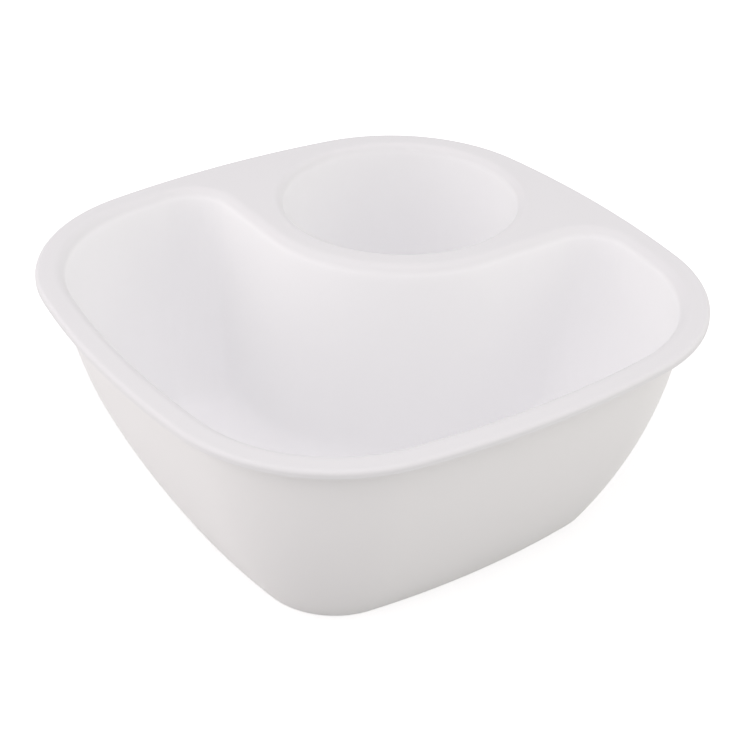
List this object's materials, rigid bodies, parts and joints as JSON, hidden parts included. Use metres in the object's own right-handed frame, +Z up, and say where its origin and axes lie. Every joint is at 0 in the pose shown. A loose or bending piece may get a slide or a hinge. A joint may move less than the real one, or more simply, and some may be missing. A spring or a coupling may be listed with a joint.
{
  "type": "chip and dip server",
  "caption": "Square double-walled serving bowl with rounded corners, an overhanging rim, a curved divider and a round dip well sunk in one corner.",
  "frame": {"origin": "centre of the foot, on the surface that the server stands on", "axes": "+Z up; X and Y run along the sides, with the dip well in the +X +Y corner"},
  "size_m": [0.266, 0.266, 0.108],
  "materials": {
    "outer_plastic": "satin white moulded plastic",
    "liner_plastic": "satin white moulded plastic"
  },
  "bodies": {
    "root": {"outer_bowl": "outer_plastic", "serving_liner": "liner_plastic"}
  },
  "joints": []
}
